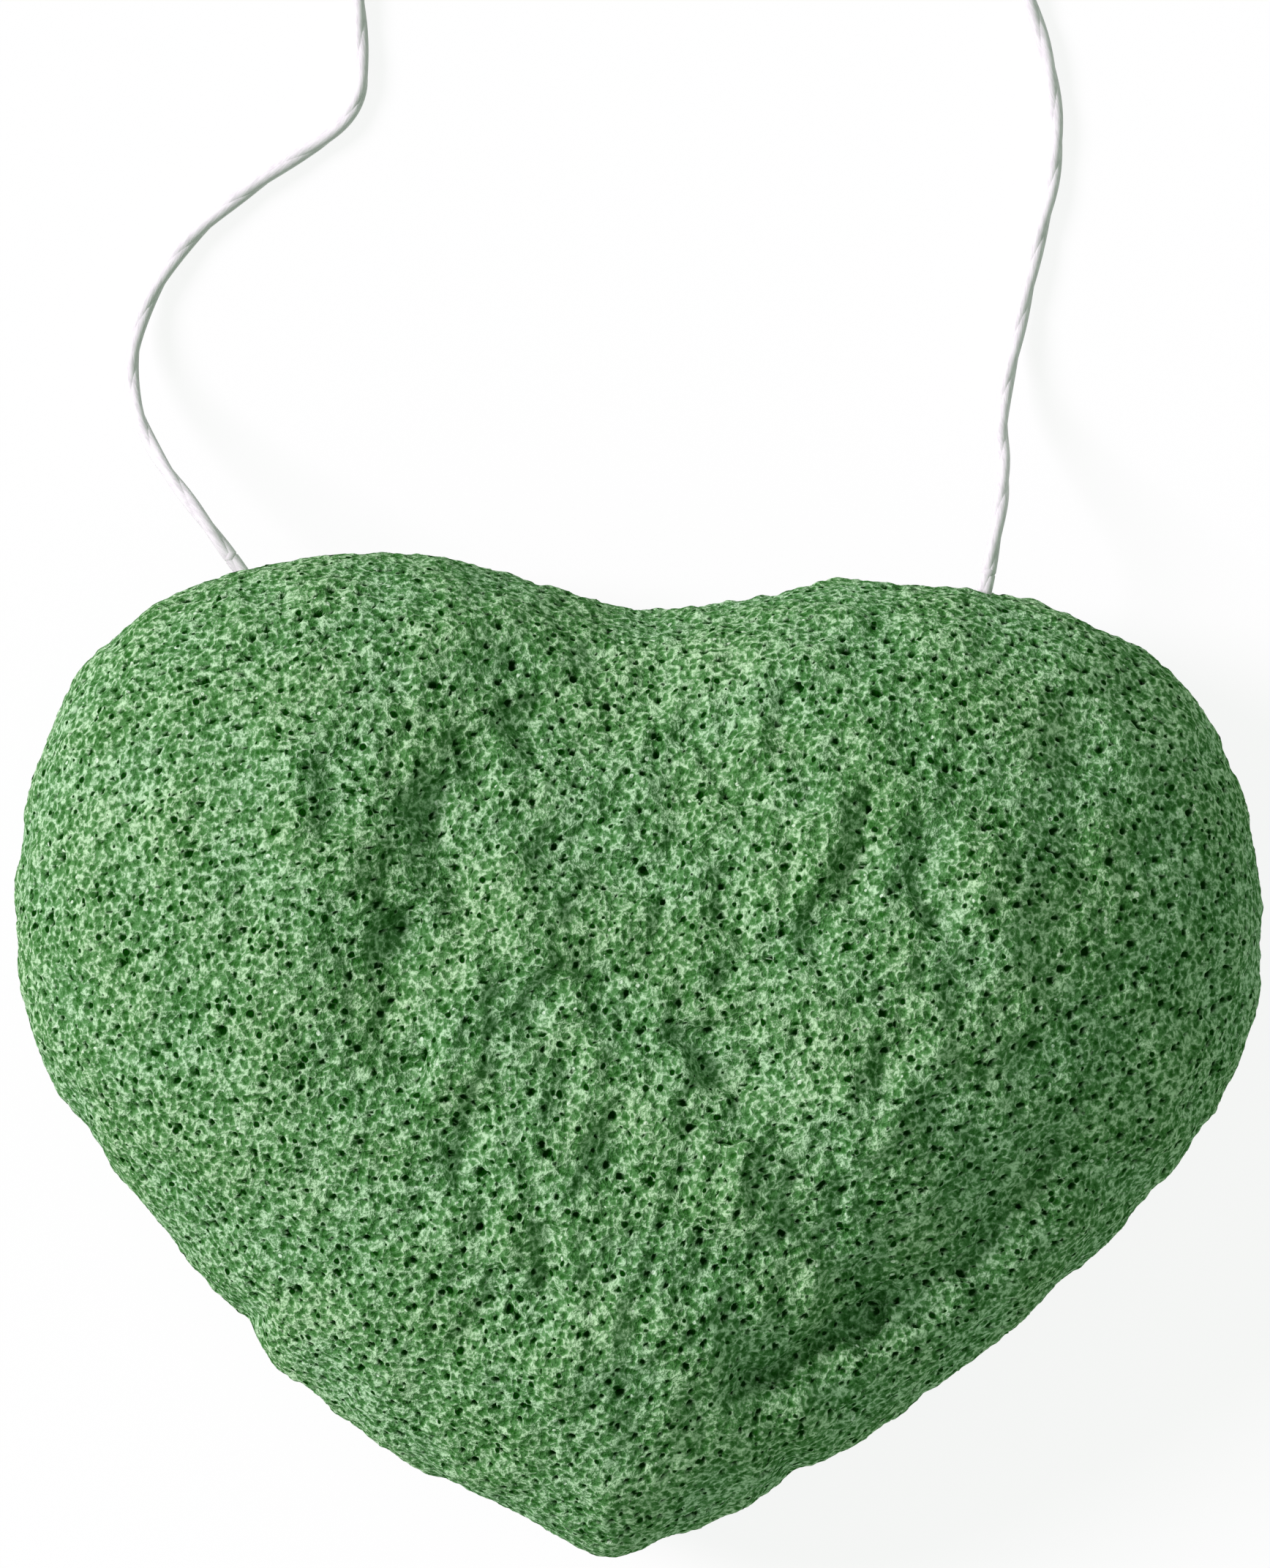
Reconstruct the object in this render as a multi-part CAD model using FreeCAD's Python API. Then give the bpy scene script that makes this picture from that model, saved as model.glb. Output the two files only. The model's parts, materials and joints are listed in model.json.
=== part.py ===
import FreeCAD, Part
import math
import os

# Heart-shaped konjac sponge with a cotton string threaded through its lobes as a hanging loop.
# Millimetres. The flat back lies on z = 0, +Y runs from the tip to the cleft, +Z through the crown.

# Driving sizes of the moulded sponge
heart_width = 85.0
heart_length = 67.4
heart_thickness = 28.0
girth_height = 9.5
back_inset = 6.0
cleft_depth = 3.1
lobe_spacing = 36.4
widest_offset = 9.5
tip_radius = 4.0
tip_softening = 26.0

# Outline knots as shares of half the width and half the length, with headings in degrees
shoulder_shares = (0.857, 0.807)
shoulder_heading = -48.0
widest_heading = -90.0
hip_shares = (0.908, -0.119)
hip_heading = -124.0
tip_heading = -157.0

# Side profile, from the flat back over the girth to the crown
side_roundness = 2.0
side_levels = 9
crown_roundness = 2.3
crown_levels = 24
crown_top_share = 0.05

# Soft relief of the domed face: a valley below the cleft with a hollow beside it, a swell on each lobe,
# a crease beside the left lobe and a furrow along the lower right edge, with spreads across and along
valley_shares = (-0.02, 0.53)
valley_spread = (11.0, 17.0)
valley_depth = 1.7
hollow_shares = (-0.153, 0.706)
hollow_spread = (5.5, 4.8)
hollow_depth = 1.2
right_swell_shares = (0.435, 0.15)
right_swell_spread = (9.5, 13.0)
right_swell_height = 1.3
left_swell_shares = (-0.513, 0.326)
left_swell_spread = (6.2, 12.0)
left_swell_height = 0.9
crease_shares = (-0.36, 0.33)
crease_spread = (4.5, 11.0)
crease_turn = -17.0
crease_depth = 1.4
furrow_shares = (0.435, -0.415)
furrow_spread = (3.2, 13.0)
furrow_turn = -50.6
furrow_depth = 1.8
relief_rise = 7.4

# Cotton string and the hole that it runs through
cord_diameter = 1.0
hole_clearance = 0.1
swing_clearance = 0.05
pivot_standoff = 0.9
hole_overrun = 6.0
cord_lead = 3.6
left_exit_share = -0.672
left_exit_heading = 129.0
right_exit_share = 0.527
right_exit_heading = 82.0
arc_run_share = 0.45

# Routes of the two free ends, from their leads to the knot, where they lie on the surface
cord_bed = cord_diameter / 2
left_route = [
    (-35.0, 39.9, 6.2),
    (-37.0, 44.4, 2.6),
    (-36.6, 49.4, 0.7),
    (-33.6, 54.9, cord_bed),
    (-28.4, 59.4, cord_bed),
    (-21.9, 63.9, cord_bed),
    (-22.2, 69.6, cord_bed),
    (-23.1, 75.6, cord_bed),
    (-21.5, 82.4, cord_bed),
    (-17.4, 88.3, cord_bed),
    (-11.8, 92.4, cord_bed),
]
right_route = [
    (23.4, 41.0, 6.4),
    (23.0, 45.4, 2.7),
    (23.9, 50.4, 0.7),
    (25.0, 56.8, cord_bed),
    (26.3, 63.4, cord_bed),
    (25.5, 69.6, cord_bed),
    (23.1, 75.8, cord_bed),
    (20.4, 82.0, cord_bed),
    (17.0, 87.6, cord_bed),
    (13.6, 92.0, cord_bed),
]

# Reef knot of the two ends about its own centre: each end turns back through the other's bight
knot_centre = (1.6, 95.2)
over = 1.62
left_knot = [
    (-8.0, 0.0, cord_bed),
    (-5.4, 0.66, cord_bed),
    (-3.4, 0.62, 0.55),
    (-1.9, 0.68, 1.2),
    (-0.7, 0.95, over),
    (0.7, 1.55, over),
    (2.0, 1.95, 1.2),
    (3.2, 1.85, 0.55),
    (4.6, 1.0, cord_bed),
    (4.6, -1.0, cord_bed),
    (3.2, -1.85, 0.55),
    (2.0, -1.95, 1.2),
    (0.7, -1.55, over),
    (-0.7, -0.95, over),
    (-1.9, -0.68, 1.2),
    (-3.4, -0.62, 0.55),
    (-5.4, -0.8, cord_bed),
    (-8.0, -1.8, cord_bed),
    (-10.6, -3.6, cord_bed),
]
right_knot = [
    (8.6, -0.4, cord_bed),
    (6.8, 0.3, 0.8),
    (5.3, 0.68, over),
    (3.7, 0.62, over),
    (2.0, 0.68, 0.95),
    (0.8, 0.95, cord_bed),
    (-0.7, 1.55, cord_bed),
    (-2.0, 1.95, 0.95),
    (-3.1, 1.9, over),
    (-4.6, 1.0, over),
    (-4.6, -1.0, over),
    (-3.1, -1.9, over),
    (-2.0, -1.95, 0.95),
    (-0.7, -1.55, cord_bed),
    (0.8, -0.95, cord_bed),
    (2.0, -0.68, 0.95),
    (3.7, -0.62, over),
    (5.3, -0.78, over),
    (6.8, -1.3, 0.8),
    (8.8, -2.4, cord_bed),
    (11.0, -4.3, cord_bed),
]

# Sizes worked out from the driving ones
half_width = heart_width / 2
half_length = heart_length / 2
cord_radius = cord_diameter / 2
hole_radius = cord_radius + hole_clearance
cord_height = girth_height
Vector = FreeCAD.Vector


def heading_vector(degrees):
    """Unit vector in the plane of the back, turned from +X."""
    return Vector(math.cos(math.radians(degrees)), math.sin(math.radians(degrees)), 0)


def unit(vector):
    """The vector's direction."""
    return vector / vector.Length


def arc_from(start, heading, end):
    """Three points of the arc that leaves start along heading and reaches end."""
    chord = end - start
    along = unit(chord)
    side = heading - along * heading.dot(along)
    rise = chord.Length / 2 * math.tan(heading.getAngle(along) / 2)
    return start, start + chord / 2 + unit(side) * rise, end


def biarc(start, start_heading, end, end_heading):
    """Two arcs that leave start and reach end along the given headings, in three points each."""
    chord = end - start
    both = start_heading + end_heading
    spread = 2 - 2 * start_heading.dot(end_heading)
    if spread > 0:
        root = math.sqrt(chord.dot(both) ** 2 + spread * chord.dot(chord))
        reach = (root - chord.dot(both)) / spread
    else:
        reach = chord.dot(chord) / (2 * chord.dot(both))
    joint = (start + end + (start_heading - end_heading) * reach) / 2
    joint_heading = unit(joint - start - start_heading * reach)
    return [arc_from(start, start_heading, joint), arc_from(joint, joint_heading, end)]


def arc_edge(points):
    """Edge through the three points of an arc."""
    return Part.Arc(*points).toShape()


def mirrored(point):
    """The point on the other side of the heart's middle line."""
    return Vector(-point.x, point.y, point.z)


def heart_arcs(share):
    """The outline, clockwise from the cleft, in three points for each arc: softer where it is drawn in."""
    tip_side = heading_vector(tip_heading)
    tip_round = tip_radius + tip_softening * (1 - share)
    tip_start = Vector(0, tip_round - half_length, 0) + Vector(-tip_side.y, tip_side.x, 0) * tip_round
    knots = [
        (Vector(0, half_length - cleft_depth * share, 0), heading_vector(0)),
        (Vector(lobe_spacing / 2, half_length, 0), heading_vector(0)),
        (plan_point(shoulder_shares), heading_vector(shoulder_heading)),
        (Vector(half_width, widest_offset, 0), heading_vector(widest_heading)),
        (plan_point(hip_shares), heading_vector(hip_heading)),
        (tip_start, tip_side),
    ]
    right = []
    for (start, start_heading), (end, end_heading) in zip(knots, knots[1:]):
        right += biarc(start, start_heading, end, end_heading)
    tip = (tip_start, Vector(0, -half_length, 0), mirrored(tip_start))
    left = [tuple(mirrored(point) for point in reversed(arc)) for arc in reversed(right)]
    return right + [tip] + left


def plan_point(shares):
    """Point of the plan at the given shares of half the width and half the length."""
    return Vector(shares[0] * half_width, shares[1] * half_length, 0)


def relief(point):
    """Height that the forms of the soft relief add to the domed face over a point of the plan."""
    forms = [
        (valley_shares, valley_spread, 0, -valley_depth),
        (hollow_shares, hollow_spread, 0, -hollow_depth),
        (right_swell_shares, right_swell_spread, 0, right_swell_height),
        (left_swell_shares, left_swell_spread, 0, left_swell_height),
        (crease_shares, crease_spread, crease_turn, -crease_depth),
        (furrow_shares, furrow_spread, furrow_turn, -furrow_depth),
    ]
    total = 0
    for shares, spread, turn, height in forms:
        away = point - plan_point(shares)
        across = away.dot(heading_vector(turn)) / spread[0]
        along = away.dot(heading_vector(turn + 90)) / spread[1]
        total += height * math.exp(-across ** 2 - along ** 2)
    return total


def lifted(point, height):
    """The point at a height, with the relief of the domed face, which fades out towards the girth."""
    fade = min(max((height - girth_height) / relief_rise, 0), 1)
    return point + Vector(0, 0, height + relief(point) * fade * fade * (3 - 2 * fade))


def heart_wire(share, height):
    """The outline drawn in to a share of its size, at a height and with the relief there."""
    return Part.Wire([arc_edge([lifted(point * share, height) for point in arc]) for arc in heart_arcs(share)])


def crown_cap(share, height):
    """The flat outline that closes the crown, as high as the relief is in its middle."""
    lift = lifted(Vector(0, 0, 0), height)
    return Part.Wire([arc_edge([point * share + lift for point in arc]) for arc in heart_arcs(share)])


def profile_levels():
    """Outline share and height of each level, from the back's edge over the girth to the crown."""
    levels = []
    back_share = 1 - back_inset / half_width
    for step in range(side_levels, 0, -1):
        turn = math.pi / 2 * step / side_levels
        share = back_share + (1 - back_share) * math.cos(turn) ** (2 / side_roundness)
        levels.append((share, girth_height * (1 - math.sin(turn) ** (2 / side_roundness))))
    top_turn = math.acos(crown_top_share ** (crown_roundness / 2))
    for step in range(crown_levels + 1):
        turn = top_turn * step / crown_levels
        rise_share = (math.sin(turn) / math.sin(top_turn)) ** (2 / crown_roundness)
        height = girth_height + (heart_thickness - girth_height) * rise_share
        levels.append((math.cos(turn) ** (2 / crown_roundness), height))
    return levels


def moulded_heart():
    """The plump heart with its relief, before its hole."""
    levels = profile_levels()
    wires = [heart_wire(share, height) for share, height in levels[:-1]]
    return Part.makeLoft(wires + [crown_cap(*levels[-1])], True, False)


def tube(edges, radius):
    """Round tube along a smooth run of edges."""
    first = edges[0]
    start = first.valueAt(first.FirstParameter)
    ring = Part.Wire(Part.makeCircle(radius, start, first.tangentAt(first.FirstParameter)))
    return Part.Wire(edges).makePipeShell([ring], True, False)


def exit_pivot(heart, share, heading):
    """Point just outside the girth where the string starts to swing."""
    x = share * half_width
    run = Part.makeLine(Vector(x, 0, cord_height), Vector(x, heart_length, cord_height))
    return Vector(x, heart.common(run).BoundBox.YMax, cord_height) + heading * pivot_standoff


def cord_path(points):
    """Straight runs joined by tangent arcs as large as the runs allow, with the arcs' radii."""
    edges = []
    radii = []
    last = points[0]
    for before, corner, after in zip(points, points[1:], points[2:]):
        into = unit(corner - before)
        out = unit(after - corner)
        reach = arc_run_share * min((corner - before).Length, (after - corner).Length)
        start = corner - into * reach
        end = corner + out * reach
        edges.append(Part.makeLine(last, start))
        edges.append(arc_edge(arc_from(start, into, end)))
        radii.append(reach / math.tan(into.getAngle(out) / 2))
        last = end
    edges.append(Part.makeLine(last, points[-1]))
    return edges, radii


def free_end(name, pivot, heading, route, knot):
    """One free end of the string: its stretch from the pivot to the knot, and its strand of the knot."""
    centre = Vector(*knot_centre, 0)
    points = [pivot, pivot + heading * cord_lead]
    points += [Vector(*point) for point in route]
    knot_start = len(points)
    points += [centre + Vector(*point) for point in knot]
    edges, radii = cord_path(points)
    split = 2 * knot_start
    stretch = tube(edges[:split], cord_radius)
    strand = tube(edges[split:], cord_radius)
    for part, run in ((stretch, edges[:split]), (strand, edges[split:])):
        length = sum(edge.Length for edge in run)
        section = math.pi * cord_radius ** 2
        print(f"{name}: length {length:.1f}, volume {part.Volume:.2f} of {section * length:.2f}")
    print(name, "radii", " ".join(f"{radius:.1f}" for radius in radii))
    ball = Part.makeSphere(cord_radius, pivot, -heading, 0, 90, 360)
    return stretch.fuse(ball).removeSplitter(), strand


heart = moulded_heart()
left_heading = heading_vector(left_exit_heading)
right_heading = heading_vector(right_exit_heading)
left_pivot = exit_pivot(heart, left_exit_share, left_heading)
right_pivot = exit_pivot(heart, right_exit_share, right_heading)
print("pivots", left_pivot, right_pivot, "axis", unit(right_pivot - left_pivot))

# The threaded stretch stops short of the pivots, so that the loop can swing past its ends
end_gap = cord_radius + swing_clearance
thread_start = left_pivot - left_heading * end_gap
thread_end = right_pivot - right_heading * end_gap
thread = [arc_edge(arc) for arc in biarc(thread_start, -left_heading, thread_end, right_heading)]
hole_start = Part.makeLine(thread_start + left_heading * hole_overrun, thread_start)
hole_end = Part.makeLine(thread_end, thread_end + right_heading * hole_overrun)
hole = tube([hole_start] + thread + [hole_end], hole_radius)

cord_left, knot_strand_left = free_end("left end", left_pivot, left_heading, left_route, left_knot)
cord_right, knot_strand_right = free_end("right end", right_pivot, right_heading, right_route, right_knot)
gap = knot_strand_left.distToShape(knot_strand_right)[0]
print(f"least gap between the knot's strands {gap:.3f}")

parts = {
    "sponge_body": heart.cut(hole),
    "cord_threaded": tube(thread, cord_radius),
    "cord_left": cord_left,
    "cord_right": cord_right,
    "knot_strand_left": knot_strand_left,
    "knot_strand_right": knot_strand_right,
}
os.makedirs("parts", exist_ok=True)
for name, shape in parts.items():
    box = shape.BoundBox
    print(f"{name}: {len(shape.Solids)} solid, valid {shape.isValid()}, volume {shape.Volume:.1f}, box {box}")
    shape.exportStep(f"parts/{name}.step")
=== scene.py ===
"""Looks of a heart-shaped konjac sponge and its cotton hanging loop, in metres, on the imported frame."""
import json
import logging
import math
from dataclasses import dataclass
from enum import Enum
from functools import cached_property
from typing import Any

import bpy
import numpy as np
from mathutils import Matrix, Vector
from mathutils.bvhtree import BVHTree


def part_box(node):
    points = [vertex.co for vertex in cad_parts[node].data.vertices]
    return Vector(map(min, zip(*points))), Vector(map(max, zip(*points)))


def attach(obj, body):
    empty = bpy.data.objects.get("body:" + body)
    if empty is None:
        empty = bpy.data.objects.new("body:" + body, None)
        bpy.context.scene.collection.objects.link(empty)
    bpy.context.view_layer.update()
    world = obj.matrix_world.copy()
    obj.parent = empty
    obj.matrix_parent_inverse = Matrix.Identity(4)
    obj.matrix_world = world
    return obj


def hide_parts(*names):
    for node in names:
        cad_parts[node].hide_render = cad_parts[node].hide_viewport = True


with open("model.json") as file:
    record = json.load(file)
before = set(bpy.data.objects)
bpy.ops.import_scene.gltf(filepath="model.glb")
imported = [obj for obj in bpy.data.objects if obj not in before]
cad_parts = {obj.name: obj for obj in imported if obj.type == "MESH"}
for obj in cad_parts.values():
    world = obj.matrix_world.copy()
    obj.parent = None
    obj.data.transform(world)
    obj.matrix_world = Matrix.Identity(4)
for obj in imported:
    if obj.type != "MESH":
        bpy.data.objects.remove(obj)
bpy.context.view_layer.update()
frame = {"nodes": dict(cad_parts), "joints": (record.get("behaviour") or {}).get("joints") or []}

LOG = logging.getLogger("konjac_sponge")

Colour = tuple[float, float, float]
Place = tuple[float, float, float]
Plan = tuple[float, float]
Span = tuple[float, float]

WHITE: Colour = (1.0, 1.0, 1.0)
MIDDLE: Place = (0.5, 0.5, 0.5)
TURN = 2 * math.pi


class Body(Enum):
    """The two bodies that pieces ride on."""

    SPONGE = "sponge"
    LOOP = "loop"


class Slot(Enum):
    """The record's material slots."""

    FOAM = "konjac_foam"
    COTTON = "cotton_cord"


class Field:
    """A node's output that takes part in Python sums, each of which adds a Math node."""

    def __init__(self, bench: "Bench", socket: bpy.types.NodeSocket) -> None:
        """Keeps the socket and the bench that it belongs to."""
        self.bench = bench
        self.socket = socket

    def out(self, name: str) -> "Field":
        """Another output of the same node."""
        return Field(self.bench, self.socket.node.outputs[name])

    def math(self, operation: str, first: Any, second: Any) -> "Field":
        """The result of a Math node on two values."""
        return self.bench.add("ShaderNodeMath", {"operation": operation}, {0: first, 1: second})

    def step(self, low: Any, high: Any) -> "Field":
        """A soft step from 0 at low to 1 at high."""
        settings = {"interpolation_type": "SMOOTHSTEP"}
        return self.bench.add("ShaderNodeMapRange", settings, {0: self, 1: low, 2: high})

    def __add__(self, other: Any) -> "Field":
        """This value plus another."""
        return self.math("ADD", self, other)

    def __radd__(self, other: Any) -> "Field":
        """Another value plus this one."""
        return self.math("ADD", other, self)

    def __sub__(self, other: Any) -> "Field":
        """This value less another."""
        return self.math("SUBTRACT", self, other)

    def __rsub__(self, other: Any) -> "Field":
        """Another value less this one."""
        return self.math("SUBTRACT", other, self)

    def __mul__(self, other: Any) -> "Field":
        """This value times another."""
        return self.math("MULTIPLY", self, other)

    def __truediv__(self, other: Any) -> "Field":
        """This value divided by another."""
        return self.math("DIVIDE", self, other)

    def __rtruediv__(self, other: Any) -> "Field":
        """Another value divided by this one."""
        return self.math("DIVIDE", other, self)

    def most(self, other: Any) -> "Field":
        """The larger of two values."""
        return self.math("MAXIMUM", self, other)


class Bench:
    """Adds nodes to one tree."""

    def __init__(self, tree: bpy.types.NodeTree) -> None:
        """Keeps the tree and clears what it starts with."""
        self.tree = tree
        tree.nodes.clear()

    def add(
        self, kind: str, settings: dict | None = None, sockets: dict | None = None, output: int = 0
    ) -> Field:
        """Adds a node, sets it up, fills its sockets and gives one of its outputs.

        Args:
            kind: The node's type.
            settings: Its own options.
            sockets: Values or Fields by the sockets' names or numbers.
            output: The number of the output that is wanted.

        Returns:
            The output as a Field, or the first input of a node that has none.
        """
        node = self.tree.nodes.new(kind)
        for name, value in (settings or {}).items():
            setattr(node, name, value)
        for key, value in (sockets or {}).items():
            if isinstance(value, Field):
                self.tree.links.new(value.socket, node.inputs[key])
            else:
                node.inputs[key].default_value = value
        return Field(self, node.outputs[output] if node.outputs else node.inputs[0])

    def shift(self, operation: str, first: Any, second: Any) -> Field:
        """The result of a Vector Math node on two vectors."""
        return self.add("ShaderNodeVectorMath", {"operation": operation}, {0: first, 1: second})

    def stretch(self, vector: Field, scale: Any) -> Field:
        """A vector times a number."""
        return self.add("ShaderNodeVectorMath", {"operation": "SCALE"}, {0: vector, "Scale": scale})

    def blend(self, share: Any, first: Any, second: Any) -> Field:
        """A colour between two colours."""
        return self.add("ShaderNodeMix", {"data_type": "RGBA"}, {0: share, 6: first, 7: second}, output=2)

    def gap(self, first: Any, second: Any) -> Field:
        """The distance between two places."""
        return self.add("ShaderNodeVectorMath", {"operation": "DISTANCE"}, {0: first, 1: second}, output=1)

    def noise(
        self, place: Any, size: Any, detail: float = 2.0, roughness: float = 0.5, output: int = 0
    ) -> Field:
        """Smooth noise of one size, as a value, or as a colour with output 1."""
        sockets = {"Vector": place, "Scale": 1 / size, "Detail": detail, "Roughness": roughness}
        return self.add("ShaderNodeTexNoise", None, sockets, output)

    def cells(self, place: Any, size: float) -> Field:
        """How far each place is from the middle of its cell, for cells of one size."""
        return self.add("ShaderNodeTexVoronoi", {"feature": "F1"}, {"Vector": place, "Scale": 1 / size})

    def bent(self, place: Field, size: float, amount: Any) -> Field:
        """A place that noise moves about, by up to half the amount each way."""
        wander = self.shift("SUBTRACT", self.noise(place, size, output=1), MIDDLE)
        return self.shift("ADD", place, self.stretch(wander, amount))

    def keep(self, geometry: Field, name: str, value: Any) -> Field:
        """The same geometry with one more named value at its points."""
        sockets = {"Geometry": geometry, "Name": name, "Value": value}
        return self.add("GeometryNodeStoreNamedAttribute", {"data_type": "FLOAT", "domain": "POINT"}, sockets)

    def coat(self, sockets: dict) -> None:
        """Ends a material's tree with one Principled shader."""
        shader = self.add("ShaderNodeBsdfPrincipled", None, sockets)
        self.add("ShaderNodeOutputMaterial", None, {"Surface": shader})

    def dress(self, geometry: Field, material: bpy.types.Material) -> None:
        """Ends a geometry tree: smooth, realized and in one material."""
        smooth = self.add("GeometryNodeSetShadeSmooth", None, {"Geometry": geometry})
        whole = self.add("GeometryNodeRealizeInstances", None, {"Geometry": smooth})
        dressed = self.add("GeometryNodeSetMaterial", None, {"Geometry": whole, "Material": material})
        self.add("NodeGroupOutput", None, {"Geometry": dressed})


def solid(colour: Colour) -> tuple[float, float, float, float]:
    """A colour with full alpha, as sockets take it."""
    return (*colour, 1.0)


def new_material(name: str) -> tuple[bpy.types.Material, Bench]:
    """Makes an empty node material.

    Args:
        name: The material's name.

    Returns:
        The material and the bench of its tree.
    """
    material = bpy.data.materials.new(name)
    material.use_nodes = True
    return material, Bench(material.node_tree)


def new_tree(name: str, inputs: dict[str, float | int]) -> tuple[Bench, Field]:
    """Makes a geometry tree with a named input for each size.

    Args:
        name: The tree's name.
        inputs: The inputs' names, with values of the kind that each takes.

    Returns:
        The bench of the tree, and the tree's inputs.
    """
    tree = bpy.data.node_groups.new(name, "GeometryNodeTree")
    bench = Bench(tree)
    for way in ("INPUT", "OUTPUT"):
        tree.interface.new_socket("Geometry", in_out=way, socket_type="NodeSocketGeometry")
    for label, value in inputs.items():
        kind = "NodeSocketInt" if isinstance(value, int) else "NodeSocketFloat"
        tree.interface.new_socket(label, in_out="INPUT", socket_type=kind)
    return bench, bench.add("NodeGroupInput")


def linked(name: str, data: bpy.types.ID) -> bpy.types.Object:
    """A new object in the scene's own collection."""
    thing = bpy.data.objects.new(name, data)
    bpy.context.scene.collection.objects.link(thing)
    return thing


@dataclass(frozen=True)
class FoamFinish:
    """Dyed konjac foam: mid-green flesh with paler raised cell walls and darker low gaps, partly the foam's
    own pattern and partly painted highlight and painted shade, and pores and the string's exits painted
    near-black as shade.
    """

    flesh: Colour = (0.080, 0.226, 0.068)
    # wall: pale colour of the raised cell walls, partly the foam's own tone and partly painted highlight
    wall: Colour = (0.405, 0.630, 0.370)
    fleck: Colour = (0.52, 0.70, 0.49)
    # hollow: dark colour of the low gaps between cell walls, partly the foam's own tone and partly painted
    # shade
    hollow: Colour = (0.014, 0.094, 0.009)
    # pit: near-black painted shade for the pores and the string's exits
    pit: Colour = (0.002, 0.036, 0.001)
    cool: Colour = (0.985, 1.0, 1.02)
    warm: Colour = (1.015, 1.0, 0.98)
    roughness: float = 0.95
    specular: float = 0.0
    cell_size: float = 0.00056
    warp_size: float = 0.0009
    warp: float = 0.00022
    grain_size: float = 0.00028
    mottle_size: float = 0.0010
    fine_pore_size: float = 0.00095
    fine_pore_radii: Span = (0.05, 0.26)
    fleck_size: float = 0.0010
    fleck_radii: Span = (-0.06, 0.16)
    fleck_shift: Place = (1.0, 2.0, 3.0)
    spot_edge: Span = (0.75, 1.2)
    least_spot: float = 0.001
    patch_size: float = 0.012
    hue_size: float = 0.0055
    grain_roughness: float = 0.6
    patch_detail: float = 3.0
    plain_detail: float = 1.0
    wall_span: Span = (0.22, 0.64)
    grain_span: Span = (0.30, 0.72)
    mottle_span: Span = (0.25, 0.75)
    flesh_span: Span = (0.10, 0.62)
    pale_span: Span = (0.55, 1.02)
    pit_shade_span: Span = (0.15, 0.75)
    hue_span: Span = (0.30, 0.70)
    wall_share: float = 0.48
    grain_share: float = 0.52
    light_share: float = 0.86
    mottle_share: float = 0.14
    patch_share: float = 0.20
    pore_bump_share: float = 1.3
    bump_depth: float = 0.00022
    bump_strength: float = 0.85

    def material(self) -> bpy.types.Material:
        """Builds the foam's material.

        Returns:
            The material, which reads the mesh's own "pore" attribute to paint shade into the pits and the
            string's exits.
        """
        material, bench = new_material("konjac foam")
        place = bench.add("ShaderNodeTexCoord").out("Object")
        place = bench.bent(place, self.warp_size, 2 * self.warp)
        walls = bench.cells(place, self.cell_size).step(*self.wall_span)
        grain = bench.noise(place, self.grain_size, roughness=self.grain_roughness).step(*self.grain_span)
        pores = self._spots(bench, place, self.fine_pore_size, self.fine_pore_radii)
        elsewhere = bench.shift("ADD", place, self.fleck_shift)
        flecks = self._spots(bench, elsewhere, self.fleck_size, self.fleck_radii)
        painted_hole_shade = bench.add("ShaderNodeAttribute", {"attribute_name": "pore"}).out("Fac")
        patches = bench.noise(place, self.patch_size, self.patch_detail)
        mottle = bench.noise(place, self.mottle_size, self.plain_detail).step(*self.mottle_span)
        light = walls * self.wall_share + grain * self.grain_share
        tone = light * self.light_share + mottle * self.mottle_share + patches * self.patch_share
        # The tone follows the bump's height, so low gaps are painted darker as shade and raised walls paler
        # as highlight, on top of the foam's own pattern.
        colour = bench.blend(tone.step(*self.flesh_span), solid(self.hollow), solid(self.flesh))
        colour = bench.blend(tone.step(*self.pale_span), colour, solid(self.wall))
        colour = bench.blend(flecks, colour, solid(self.fleck))
        # Pores and the string's exits take the pit colour: painted shade in the holes.
        colour = bench.blend(pores.most(painted_hole_shade.step(*self.pit_shade_span)), colour, solid(self.pit))
        hue = bench.noise(place, self.hue_size, self.plain_detail).step(*self.hue_span)
        tint = bench.blend(hue, solid(self.cool), solid(self.warm))
        dyed = {"data_type": "RGBA", "blend_type": "MULTIPLY"}
        colour = bench.add("ShaderNodeMix", dyed, {0: 1.0, 6: colour, 7: tint}, output=2)
        bump = {
            "Strength": self.bump_strength,
            "Distance": self.bump_depth,
            "Height": light - pores * self.pore_bump_share,
        }
        bench.coat({
            "Base Color": colour,
            "Roughness": self.roughness,
            "Specular IOR Level": self.specular,
            "Normal": bench.add("ShaderNodeBump", None, bump),
        })
        return material

    def _spots(self, bench: Bench, place: Field, size: float, radii: Span) -> Field:
        """Round spots of uneven size, at most one in each cell of a fine foam.

        Args:
            bench: The bench of the foam's tree.
            place: Where on the foam, in metres.
            size: How large the cells are, in metres.
            radii: Least and largest radius as shares of a cell, and a cell below zero has no spot.

        Returns:
            A mask that is 1 inside the spots.
        """
        cell = bench.cells(place, size)
        chance = bench.add("ShaderNodeSeparateColor", None, {"Color": cell.out("Color")})
        radius = (radii[0] + chance * (radii[1] - radii[0])).most(self.least_spot)
        inner, outer = self.spot_edge
        return 1 - cell.step(radius * inner, radius * outer)


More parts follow.
